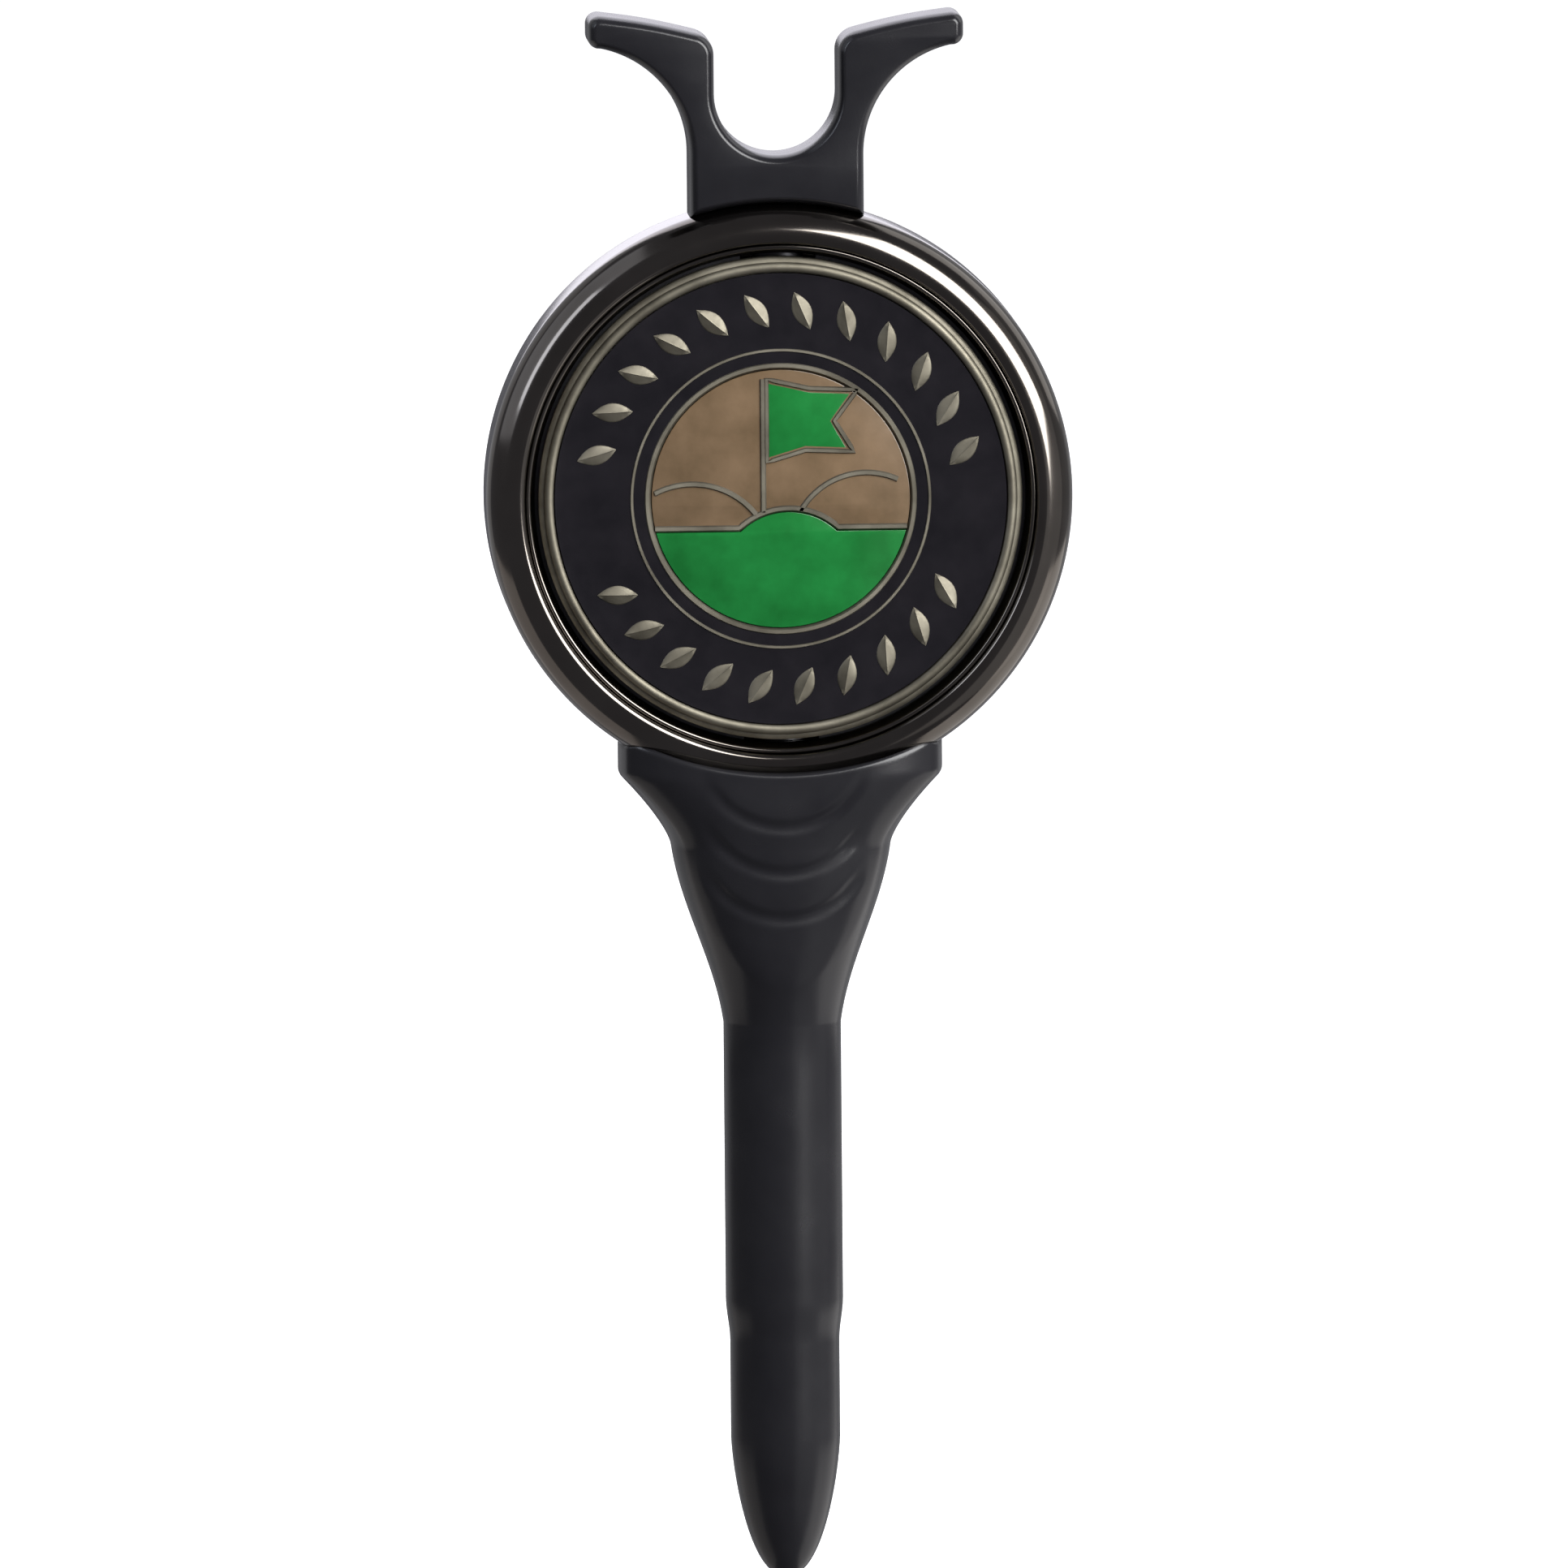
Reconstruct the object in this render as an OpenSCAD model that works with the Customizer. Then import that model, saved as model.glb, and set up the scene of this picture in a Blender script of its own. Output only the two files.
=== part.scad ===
// Tee-shaped divot repair tool with a club-rest fork and a magnetic ball marker.
// It stands upright with its spike down: Z is up, the marker faces -Y, and the
// origin is at the point of the spike, on the axis of the tool.

/* [Ball marker] */
// Diameter of the ball marker
marker_d = 25; // [22:0.5:32]
// Thickness of the marker, from its back to the top of its rim
marker_t = 1.3; // [1.1:0.1:2]
// Width of the marker's raised rim
marker_rim_w = 0.8; // [0.5:0.1:1.2]
// Depth of the enamel cells below the raised lines
enamel_t = 0.45; // [0.3:0.05:0.6]
// Step from the raised lines down to the enamel
enamel_step = 0.12; // [0.04:0.01:0.15]
// Radius inside the two thin rings that frame the picture
picture_r = 6.7; // [5.6:0.1:7.2]
// Width of the raised metal lines of the picture
line_w = 0.4; // [0.3:0.05:0.6]
// Number of leaves in the upper arc of the border
upper_leaves = 12; // [6:1:14]
// Number of leaves in the lower arc of the border
lower_leaves = 10; // [6:1:12]
// Length of one leaf of the border
leaf_l = 2.1; // [1.4:0.1:2.4]

/* [Case] */
// Thickness of the round case, front to back
case_depth = 7.6; // [7.2:0.1:9.6]
// Radius of the rolled front and back edges of the case
case_edge_r = 2.1; // [1.2:0.1:2.4]
// Radial width of the case rim outside the bezel
case_rim_w = 1.98; // [1.4:0.02:2.6]
// Radial width of the bezel around the marker
bezel_w = 0.5; // [0.4:0.05:1.2]
// Radial clearance between the marker and the bezel
marker_gap = 0.2; // [0.15:0.05:0.4]
// Depth of the marker's rim below the front of the case
marker_recess = 0.6; // [0.4:0.05:1]
// Thickness of the plate that the marker lies on
seat_t = 0.8; // [0.7:0.05:1]
// Width of the ledges that carry the seat plate and the back cover
ledge_w = 1.2; // [0.8:0.1:1.6]
// Thickness of the back cover
cover_t = 1; // [0.8:0.1:1.3]

/* [Magnet] */
// Diameter of the disc magnet
magnet_d = 12; // [8:0.5:14]
// Thickness of the disc magnet
magnet_t = 2; // [1.2:0.1:2.2]
// Metal left in front of the magnet
magnet_skin = 0.3; // [0.2:0.05:0.4]
// Wall of the cup around the magnet
magnet_wall = 0.9; // [0.6:0.1:1.4]

/* [Tee spike] */
// Diameter of the shaft
shaft_d = 6.1; // [5:0.1:7.6]
// Diameter of the lower shaft, just above the point
lower_d = 5.68; // [4.6:0.02:6]
// Length of the rounded point
point_l = 7.4; // [5.5:0.1:10]
// Length of the slightly thinner lower shaft
lower_l = 5; // [2:0.1:8]
// Length of the slope between the lower shaft and the shaft
step_l = 2.2; // [1:0.1:4]
// Length of the straight shaft
shaft_l = 14.4; // [10:0.1:20]
// Length of the cone above the shaft
cone_l = 9.3; // [7:0.1:12]
// Width of the top of the cone
cone_w = 11.4; // [9:0.1:13]
// Length of the flare that opens into the cup
flare_l = 3.6; // [3:0.1:5]
// Width of the cup
cup_w = 16.8; // [14:0.1:21]
// Thickness of the cup, front to back
cup_depth = 9; // [8:0.1:12]
// Height of the upright rim at the cup's two sides
rim_h = 2.3; // [1.4:0.1:3]
// Radius of the hollow in the cup's upper edge
lip_r = 19.5; // [17:0.5:26]
// Depth that the case sinks into the cup
cup_lip = 1; // [0.7:0.05:1.2]
// Radius of the gentle curve of the cup's front and back
crown_r = 40; // [25:1:80]
// Number of curved grip grooves on the cone
groove_count = 3; // [1:1:4]
// Spacing of the grip grooves
groove_pitch = 2.4; // [1.8:0.1:3]
// Width of a grip groove
groove_w = 0.9; // [0.5:0.1:1.4]
// Depth of a grip groove
groove_depth = 0.15; // [0.1:0.05:0.3]

/* [Fork] */
// Width of the stem that joins the fork to the case
stem_w = 9; // [8.6:0.1:11]
// Thickness of the fork, front to back
fork_depth = 5; // [4.4:0.1:6.4]
// Distance between the tips of the two horns
fork_span = 19.4; // [17:0.1:24]
// Height of the horn tips above the top of the case
fork_h = 9.8; // [8.8:0.1:12]
// Width of the slot between the horns
slot_w = 6.4; // [4.8:0.1:7]
// Height of the bottom of the slot above the top of the case
slot_floor = 2.5; // [2.2:0.1:3.4]
// Drop from a horn's tip to the mouth of the slot
horn_drop = 0.9; // [0.5:0.05:1.6]
// Height of the blunt end of a horn
horn_end = 1.6; // [0.8:0.05:1.8]
// Size of the chamfers at the mouth of the slot
mouth_r = 1.1; // [0.3:0.1:1.4]
// Size of the chamfer on the outer corner of a horn
horn_tip_r = 0.2; // [0.1:0.05:0.4]

/* [Screws] */
// Diameter of the screw thread
screw_d = 2; // [1.6:0.1:2.2]
// Diameter of the screw head
head_d = 3.4; // [3:0.1:3.6]
// Height of the screw head
head_h = 1.2; // [0.8:0.1:1.4]
// Length of thread inside the tee spike
spike_thread = 9; // [6:0.1:12]
// Thickness of a lock washer
washer_t = 0.4; // [0.3:0.05:0.5]

/* [Hidden] */
$fn = 96;

// Clearance of parts that are pressed or screwed together
fit = 0.02;
// Clearance of a hole that only passes a screw
loose = 0.15;
// Overrun that makes a cut pass cleanly through a face
cut = 0.5;
// Gap between the back cover and the rolled edge, and how far it sits below the back
cover_inset = 0.1;
cover_drop = 0.2;
// Depth of the bezel's crest below the front of the case
bezel_drop = 0.3;

// Radii of the case, from the marker outwards
marker_r = marker_d / 2;
bezel_in_r = marker_r + marker_gap;
bezel_out_r = bezel_in_r + bezel_w;
case_r = bezel_out_r + case_rim_w;
front_bore_r = bezel_out_r + fit;
inner_r = front_bore_r - ledge_w;
crest_r = case_r - case_edge_r;
cover_r = crest_r - cover_inset;

// Places through the case, from the front (-Y) to the back (+Y)
front_y = -case_depth / 2;
back_y = case_depth / 2;
marker_front_y = front_y + marker_recess;
seat_y = marker_front_y + marker_t;
ledge_y = seat_y + seat_t;
magnet_front_y = seat_y + magnet_skin;
magnet_back_y = magnet_front_y + magnet_t;
cover_out_y = back_y - cover_drop;
cover_y = cover_out_y - cover_t;
bezel_top_y = front_y + bezel_drop;

// Heights up the tee spike
lower_z = point_l;
step_z = lower_z + lower_l;
shaft_z = step_z + step_l;
cone_z = shaft_z + shaft_l;
flare_z = cone_z + cone_l;
rim_z = flare_z + flare_l;
cup_corner = 0.15;
lip_z = rim_z + rim_h - lip_r + sqrt(pow(lip_r, 2) - pow(cup_w / 2, 2));
case_z = lip_z + case_r - cup_lip;

// Fork outline, measured up from the centre of the case
hollow_z = case_r + slot_floor;
slot_z = case_r + slot_floor + slot_w / 2;
tip_z = case_r + fork_h;
mouth_z = tip_z - horn_drop;
horn_dx = (fork_span - stem_w) / 2;
horn_dz = tip_z - horn_end - hollow_z;
horn_r = (pow(horn_dx, 2) + pow(horn_dz, 2)) / (2 * horn_dx);

// Places on the marker's face, from its centre
fine_ring_in = picture_r + 2.2 * line_w;
fine_ring_out = picture_r + 2.95 * line_w;
border_r = (fine_ring_out + marker_r - marker_rim_w) / 2;
stick_x = -0.7;
stick_foot = -1.2;
flag_z = 2.1;
flag_h = 3.9;
stick_top = flag_z + flag_h + 0.2;
horizon = -1.7;
mound = [0.4, -4.3];
mound_r = 3.6;
// Each far hill is an arc: the place of its centre, then its radius
hills = [[-4.6, -3.4, 4.2], [4.4, -2.6, 3.9]];

// Seats of the two screws, on flats cut into the bore of the case
flat_depth = 0.65;
bore_room = 0.5;
slot_wall = 0.6;
fork_thread = slot_floor - slot_wall;
seat_r = inner_r + flat_depth;
counterbore_r = head_d / 2 + loose;
washer_r = head_d / 2 + 0.05;
washer_gap = 0.1;
notch_room = 0.4;
notch_w = 2 * counterbore_r + notch_room / 2;
notch_r = seat_r - head_h - washer_t - notch_room;

// Turns a drawing on the XY plane to face -Y, centred on the case
module on_case_front(y = 0) {
    translate([0, y, case_z]) rotate([90, 0, 0]) children();
}

// A disc or a plug along Y between two depths, centred on the case
module case_disc(r, y0, y1) {
    on_case_front(y1) cylinder(r = r, h = y1 - y0);
}

// The outer shape of the case: a thick disc with both edges rolled
module case_blank(grow = 0) {
    on_case_front()
        rotate_extrude()
            union() {
                translate([0, front_y - grow]) square([crest_r, case_depth + 2 * grow]);
                translate([0, front_y + case_edge_r])
                    square([case_r + grow, case_depth - 2 * case_edge_r]);
                for (side = [-1, 1])
                    intersection() {
                        translate([crest_r, side * (back_y - case_edge_r)])
                            circle(r = case_edge_r + grow);
                        translate([0, -case_depth]) square([2 * case_r, 2 * case_depth]);
                    }
            }
}

// Holes through the rim of the case for the spike and fork screws
module case_screw_holes() {
    translate([0, 0, case_z])
        for (side = [0, 180])
            rotate([0, side, 0]) {
                cylinder(r = screw_d / 2 + loose, h = case_r + cut);
                translate([0, 0, inner_r - 2]) cylinder(r = counterbore_r, h = seat_r - inner_r + 2);
            }
}

module case_ring() {
    color([0.15, 0.13, 0.13])
        difference() {
            case_blank();
            case_disc(front_bore_r, front_y - cut, ledge_y);
            case_disc(inner_r, front_y, back_y);
            case_disc(cover_r + fit, cover_y, back_y + cut);
            case_screw_holes();
        }
}

// The bezel has a round crest and a funnel that leads down to the marker
module marker_bezel() {
    crest_part = 0.42;
    crest = bezel_w * crest_part;
    color([0.2, 0.18, 0.17])
        on_case_front()
            rotate_extrude()
                union() {
                    polygon([
                        [bezel_in_r, -seat_y],
                        [bezel_out_r, -seat_y],
                        [bezel_out_r, -bezel_top_y - crest / 2],
                        [bezel_out_r - crest, -bezel_top_y - crest / 2],
                        [bezel_in_r, -marker_front_y]
                    ]);
                    translate([bezel_out_r - crest / 2, -bezel_top_y - crest / 2])
                        circle(r = crest / 2);
                }
}

// The plate is notched above and below to clear the screw heads
module seat_plate() {
    cup_r = magnet_d / 2 + fit + magnet_wall;
    color([0.62, 0.62, 0.64])
        difference() {
            union() {
                case_disc(bezel_out_r, seat_y, ledge_y);
                case_disc(cup_r, seat_y, magnet_back_y);
            }
            case_disc(magnet_d / 2 + fit, magnet_front_y, magnet_back_y + cut);
            for (side = [0, 180])
                translate([0, 0, case_z])
                    rotate([0, side, 0])
                        translate([-notch_w / 2, front_y, notch_r]) cube([notch_w, case_depth, case_r]);
        }
}

module marker_magnet() {
    color([0.78, 0.78, 0.8]) case_disc(magnet_d / 2, magnet_front_y, magnet_back_y);
}

// The back cover has a bevelled edge and a shallow dished face
module back_cover() {
    edge = 0.3;
    dish = 0.25;
    dish_r = cover_r - 2.4;
    color([0.17, 0.15, 0.15])
        difference() {
            on_case_front()
                rotate_extrude()
                    polygon([
                        [0, -cover_y],
                        [cover_r, -cover_y],
                        [cover_r, -cover_out_y + edge],
                        [cover_r - edge, -cover_out_y],
                        [0, -cover_out_y]
                    ]);
            case_disc(dish_r, cover_out_y - dish, cover_out_y + cut);
        }
}

// A screw that points up the Z axis, with the seat of its head at height z
module cap_screw(z, length) {
    key_w = head_d * 0.42;
    key_depth = head_h * 0.6;
    translate([0, 0, z])
        difference() {
            union() {
                cylinder(r = screw_d / 2, h = length);
                translate([0, 0, -head_h]) cylinder(r = head_d / 2, h = head_h);
            }
            translate([0, 0, -head_h - cut]) cylinder(d = key_w / cos(30), h = cut + key_depth, $fn = 6);
        }
}

module lock_washer() {
    translate([0, 0, seat_r - washer_t])
        difference() {
            cylinder(r = washer_r, h = washer_t);
            translate([0, 0, -cut]) cylinder(r = screw_d / 2 + washer_gap, h = washer_t + 2 * cut);
        }
}

// Points what is drawn along +Z at the spike (down) or at the fork (up)
module towards_spike() {
    translate([0, 0, case_z]) rotate([0, 180, 0]) children();
}

module towards_fork() {
    translate([0, 0, case_z]) children();
}

module spike_screw() {
    color([0.7, 0.7, 0.72])
        towards_spike() cap_screw(seat_r - washer_t, case_r - seat_r + washer_t + spike_thread);
}

module fork_screw() {
    color([0.7, 0.7, 0.72])
        towards_fork() cap_screw(seat_r - washer_t, case_r - seat_r + washer_t + fork_thread);
}

module spike_washer() {
    color([0.6, 0.6, 0.62]) towards_spike() lock_washer();
}

module fork_washer() {
    color([0.6, 0.6, 0.62]) towards_fork() lock_washer();
}

// Radius of the rounded point at a height z above its end
function point_radius(z) = lower_d / 2 * pow(1 - pow(1 - z / point_l, 1.45), 0.44);

// Radius of the cone, eased in from the shaft and out to its top; t runs from 0 to 1
function cone_radius(t) = shaft_d / 2 + (cone_w - shaft_d) / 2 * (t + (1 - cos(180 * t)) / 2) / 2;

// Radius of the flare, which curves outwards from the cone to the cup; t runs from 0 to 1
function flare_radius(t) = cone_w / 2 + ((cup_w - cone_w) / 2 - cup_corner) * pow(t, 1.35);

// The tee's outline, turned about Z; inset draws it smaller all over
module tee_turned(inset = 0) {
    steps = 12;
    outline = concat(
        [for (i = [0 : steps]) let (z = point_l * (1 - cos(90 * i / steps))) [point_radius(z), z]],
        [[lower_d / 2, step_z], [shaft_d / 2, shaft_z]],
        [for (i = [0 : steps]) let (t = i / steps) [cone_radius(t), cone_z + cone_l * t]],
        [for (i = [1 : steps]) let (t = i / steps) [flare_radius(t), flare_z + flare_l * t]],
        [[cup_w / 2, rim_z + cup_corner], [cup_w / 2, case_z], [0, case_z]]
    );
    rotate_extrude()
        polygon([for (p = outline) [max(0, p[0] - inset), p[1]]]);
}

// The tee is turned, then its cup is trimmed to a gentle curve at the front and the back
module tee_blank(inset = 0) {
    intersection() {
        tee_turned(inset);
        translate([0, cup_depth / 2 - crown_r, -cut]) cylinder(r = crown_r - inset, h = case_z + 2 * cut);
        translate([0, crown_r - cup_depth / 2, -cut]) cylinder(r = crown_r - inset, h = case_z + 2 * cut);
    }
}

// Smile-shaped grip grooves, cut to one depth all round the cone
module grip_grooves() {
    edge_gap = 0.6;
    reach_part = 0.62;
    groove_r = cone_w / 2 - edge_gap;
    first_z = flare_z + groove_w;
    reach = groove_r * reach_part;
    difference() {
        for (i = [0 : groove_count - 1])
            translate([0, 0, first_z + groove_r - i * groove_pitch])
                rotate([90, 0, 0])
                    intersection() {
                        difference() {
                            cylinder(r = groove_r, h = 2 * cup_depth, center = true);
                            cylinder(r = groove_r - groove_w, h = 3 * cup_depth, center = true);
                        }
                        translate([-cup_w / 2, -groove_r - cut, -cup_depth])
                            cube([cup_w, reach + cut, 2 * cup_depth]);
                    }
        tee_blank(groove_depth);
    }
}

module tee_spike() {
    color([0.11, 0.11, 0.12])
        difference() {
            tee_blank();
            translate([0, cup_depth, lip_z + lip_r])
                rotate([90, 0, 0])
                    cylinder(r = lip_r, h = 2 * cup_depth);
            case_blank(fit);
            grip_grooves();
            towards_spike() cylinder(r = screw_d / 2 + fit, h = case_r + spike_thread + bore_room);
        }
}

// Outline of one half of the fork, measured from the centre of the case; its foot is cut to the case later
module half_fork() {
    foot = case_r - 2;
    half_stem = stem_w / 2;
    half_slot = slot_w / 2;
    half_span = fork_span / 2;
    horn_bow = 0.55;
    difference() {
        polygon([
            [0, foot],
            [half_stem, foot],
            [half_stem, hollow_z],
            [half_span, hollow_z],
            [half_span, tip_z - horn_tip_r],
            [half_span - horn_tip_r, tip_z],
            [(half_span + half_slot) / 2, mouth_z + horn_drop * horn_bow],
            [half_slot + mouth_r, mouth_z],
            [half_slot, mouth_z - mouth_r],
            [half_slot, slot_z],
            [0, slot_z]
        ]);
        translate([0, slot_z]) circle(r = half_slot);
        translate([half_stem + horn_r, hollow_z]) circle(r = horn_r);
    }
}

module fork_rest() {
    color([0.12, 0.12, 0.13])
        difference() {
            on_case_front()
                linear_extrude(fork_depth, center = true)
                    union() {
                        half_fork();
                        mirror([1, 0]) half_fork();
                    }
            case_blank(fit);
            towards_fork() cylinder(r = screw_d / 2 + fit, h = case_r + fork_thread + fit);
        }
}

// One pointed leaf of the border, standing along +Y; each side is an arc
module leaf() {
    leaf_r = leaf_l * 0.62;
    lean = sqrt(pow(leaf_r, 2) - pow(leaf_l / 2, 2));
    intersection_for(side = [-1, 1])
        translate([side * lean, 0]) circle(r = leaf_r);
}

// Leaves set evenly along an arc of the border, either side of the angle middle
module leaf_arc(count, middle, half_angle, slant) {
    for (i = [0 : count - 1])
        rotate(middle + half_angle - 2 * half_angle * i / (count - 1))
            translate([0, border_r]) rotate(slant) leaf();
}

module leaves() {
    slant = 30;
    upper_half = 76;
    lower_half = 60;
    leaf_arc(upper_leaves, 0, upper_half, slant);
    leaf_arc(lower_leaves, 180, lower_half, -slant);
}

module annulus(r_out, r_in) {
    difference() {
        circle(r = r_out);
        circle(r = r_in);
    }
}

// Ground of the picture, with a low mound on it, before it is cut to the round
module ground_area(grow = 0) {
    union() {
        translate([-picture_r, -2 * picture_r]) square([2 * picture_r, 2 * picture_r + horizon + grow]);
        translate(mound) circle(r = mound_r + grow);
    }
}

// Swallow-tailed pennant of the picture
module pennant_area(grow = 0) {
    translate([stick_x, flag_z])
        polygon([
            [0, -grow],
            [0, flag_h + grow],
            [2.2, 3.4 + grow],
            [4.3 + 2 * grow, 3.3 + grow],
            [3.3 + grow, 1.9],
            [4.1 + 2 * grow, 0.5 - grow],
            [2, 0.6 - grow]
        ]);
}

// Flagstick that stands on the mound
module flagstick() {
    translate([stick_x - line_w, stick_foot]) square([line_w, stick_top - stick_foot]);
}

// Two lines of far hills across the sky
module hill_lines() {
    for (hill = hills)
        translate([hill[0], hill[1]]) annulus(hill[2] + line_w / 2, hill[2] - line_w / 2);
}

// Everything that stands up from the floor of the picture
module picture_lines() {
    intersection() {
        circle(r = picture_r + line_w / 2);
        union() {
            flagstick();
            difference() {
                union() {
                    ground_area(line_w);
                    pennant_area(line_w);
                    hill_lines();
                }
                ground_area();
                pennant_area();
            }
        }
    }
}

module ring_lines() {
    annulus(picture_r + line_w, picture_r);
    annulus(fine_ring_out, fine_ring_in);
}

// Raises a flat drawing from the marker's floor to height h above it
module raised(h) {
    on_case_front(marker_front_y + enamel_step + enamel_t) linear_extrude(h) children();
}

module marker_base() {
    floor_y = marker_front_y + enamel_step + enamel_t;
    color([0.5, 0.47, 0.42])
        union() {
            difference() {
                case_disc(marker_r, marker_front_y, seat_y);
                case_disc(marker_r - marker_rim_w, marker_front_y - cut, floor_y);
            }
            raised(enamel_t + enamel_step * 0.6)
                union() {
                    leaves();
                    ring_lines();
                    picture_lines();
                }
        }
}

module enamel_black() {
    color([0.09, 0.08, 0.09])
        raised(enamel_t)
            difference() {
                annulus(marker_r - marker_rim_w - fit, picture_r + line_w);
                ring_lines();
                leaves();
            }
}

module enamel_green() {
    color([0.04, 0.42, 0.2])
        raised(enamel_t)
            difference() {
                intersection() {
                    circle(r = picture_r - fit);
                    union() {
                        ground_area();
                        pennant_area();
                    }
                }
                flagstick();
            }
}

module enamel_sky() {
    color([0.4, 0.3, 0.23])
        raised(enamel_t)
            difference() {
                circle(r = picture_r - fit);
                ground_area(line_w);
                pennant_area(line_w);
                hill_lines();
                flagstick();
            }
}

tee_spike();
fork_rest();
case_ring();
marker_bezel();
seat_plate();
marker_magnet();
back_cover();
spike_screw();
fork_screw();
spike_washer();
fork_washer();
marker_base();
enamel_black();
enamel_green();
enamel_sky();
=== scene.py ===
"""Looks of the tee-shaped divot tool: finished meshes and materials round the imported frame."""

import math

import bmesh
import bpy
from mathutils import Matrix, Quaternion, Vector
from mathutils.geometry import tessellate_polygon


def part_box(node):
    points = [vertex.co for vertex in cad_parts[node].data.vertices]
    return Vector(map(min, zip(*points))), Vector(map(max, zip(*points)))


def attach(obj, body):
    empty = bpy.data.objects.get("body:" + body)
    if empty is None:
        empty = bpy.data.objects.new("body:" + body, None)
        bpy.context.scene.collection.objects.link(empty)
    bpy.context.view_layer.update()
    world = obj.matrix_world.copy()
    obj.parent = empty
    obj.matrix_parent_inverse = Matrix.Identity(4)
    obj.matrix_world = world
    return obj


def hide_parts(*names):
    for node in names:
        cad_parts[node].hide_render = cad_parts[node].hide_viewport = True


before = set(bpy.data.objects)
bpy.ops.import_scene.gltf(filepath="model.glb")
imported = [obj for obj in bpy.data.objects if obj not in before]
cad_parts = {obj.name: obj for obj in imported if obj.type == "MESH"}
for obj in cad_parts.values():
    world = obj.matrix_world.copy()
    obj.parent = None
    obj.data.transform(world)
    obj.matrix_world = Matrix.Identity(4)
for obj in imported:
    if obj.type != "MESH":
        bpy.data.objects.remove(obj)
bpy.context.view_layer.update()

MM = 0.001
TOOL = "tool"
MARKER = "ball_marker"

# ---------------------------------------------------------------- sizes, in millimetres


def box_mm(node):
    """Lowest and highest corner of a CAD node, in millimetres."""
    lo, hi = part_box(node)
    return Vector(lo) / MM, Vector(hi) / MM


# the CAD boxes that the finished meshes are fitted to
case_lo, case_hi = box_mm("case_ring")
marker_lo, marker_hi = box_mm("marker_base")
bezel_lo, bezel_hi = box_mm("marker_bezel")
cover_lo, cover_hi = box_mm("back_cover")
tee_lo, tee_hi = box_mm("tee_spike")
fork_lo, fork_hi = box_mm("fork_rest")

FIT = 0.02
MESH_ROOM = 0.01  # a fine circle reaches a little past the CAD's, so the case is drawn this much smaller

# case, bezel and back cover
MARKER_R = (marker_hi.x - marker_lo.x) / 2
MARKER_FRONT = marker_lo.y
SEAT_Y = marker_hi.y
CASE_Z = (case_lo.z + case_hi.z) / 2
CASE_R = (case_hi.x - case_lo.x) / 2 - MESH_ROOM
EDGE_R = 2.1
CREST_R = CASE_R - EDGE_R
LAND_Y = case_hi.y - EDGE_R
BEZEL_IN = MARKER_R + 0.2
BEZEL_OUT = (bezel_hi.x - bezel_lo.x) / 2
BORE_R = BEZEL_OUT + FIT
INNER_R = BORE_R - 1.2
LEDGE_Y = SEAT_Y + 0.8
COVER_R = (cover_hi.x - cover_lo.x) / 2
COVER_ROUND = 0.28
# (distance in from the edge, depth below the face): a step down, then a raised ring
COVER_FACE = [(2.1, 0), (2.4, 0.22), (3.1, 0.24), (3.25, 0.1), (3.55, 0.06), (3.85, 0.1), (4.0, 0.24)]

# tee spike
SHAFT_R = 3.05
LOWER_R = 2.84
POINT_L = 7.4
POINT_TAPER, POINT_ROUND = 1.45, 0.44  # exponents of the point's outline
STEP_Z = 12.4
SHAFT_Z = 14.6
CONE_Z = 29.0
FLARE_Z = 38.3
FLARE_CURVE = 1.35
BODY_TOP = FLARE_Z - 0.3
RIM_Z = 41.9
CONE_R = 5.7
CUP_R = (tee_hi.x - tee_lo.x) / 2
CUP_CORNER = 0.15
CORNER_H = 0.4
CUP_ROUND = 0.22
HALF_CUP = (tee_hi.y - tee_lo.y) / 2
CROWN_R = 40.0
LIP_R = 19.5
LIP_Z = CASE_Z - CASE_R + 1.0
# how softly the turned body runs into the flat front and back: on the shaft, how much more at the cup,
# and the height over which that grows
SHAFT_SOFT = 0.4
CUP_SOFT = 2.4
SOFT_RISE = 6
GROOVES = 3
GROOVE_PITCH = 2.4
GROOVE_W = 1.1
GROOVE_DEPTH = 0.13
GROOVE_R = CONE_R - 0.6
GROOVE_TOP = FLARE_Z + 0.8
GROOVE_EDGE = 0.12
# a groove starts this far below its centre and is full depth a little lower, as shares of its radius
GROOVE_START, GROOVE_FADE = 0.3, 0.25
# it ends this far out to each side, and tapers over this width
GROOVE_REACH, GROOVE_TAPER = 4.6, 1.4

# fork
HALF_STEM = 4.5
HALF_SPAN = (fork_hi.x - fork_lo.x) / 2
HALF_SLOT = 3.2
HALF_FORK = (fork_hi.y - fork_lo.y) / 2
TIP_Z = fork_hi.z - CASE_Z
HOLLOW_Z = CASE_R + 2.5
SLOT_Z = HOLLOW_Z + HALF_SLOT
HORN_DROP = 0.9
HORN_END = 1.6
FORK_BEVEL = 0.42
FORK_ROUND = 1.1

# marker
RIM_W = 0.8
STEP = 0.12
ENAMEL_T = 0.45
ENAMEL_EDGE = 0.05
SKY_SINK = 0.015
PICTURE_R = 6.7
LINE_W = 0.4
HORIZON = -1.7
MOUND_R = 3.6
MOUND = Vector((0.4, HORIZON + 1 - MOUND_R))
HILLS = ((-4.6, -3.4, 4.2, 38, 117), (4.4, -2.6, 3.9, 150, 65))  # centre, radius, first and last angle
STICK_X = -0.7
STICK_ZS = (-0.7, 2.0, 6.2)
PENNANT_Z = 2.1
FLOOR_Y = MARKER_FRONT + STEP + ENAMEL_T
LINE_FOOT_Y = FLOOR_Y + 0.01
LINE_Y = MARKER_FRONT + 0.02
ENAMEL_Y = MARKER_FRONT + STEP
FINE_RING_R = PICTURE_R + 2.5 * LINE_W
FINE_RING_W = 0.62 * LINE_W
BORDER_IN = PICTURE_R + 2.95 * LINE_W
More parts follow.
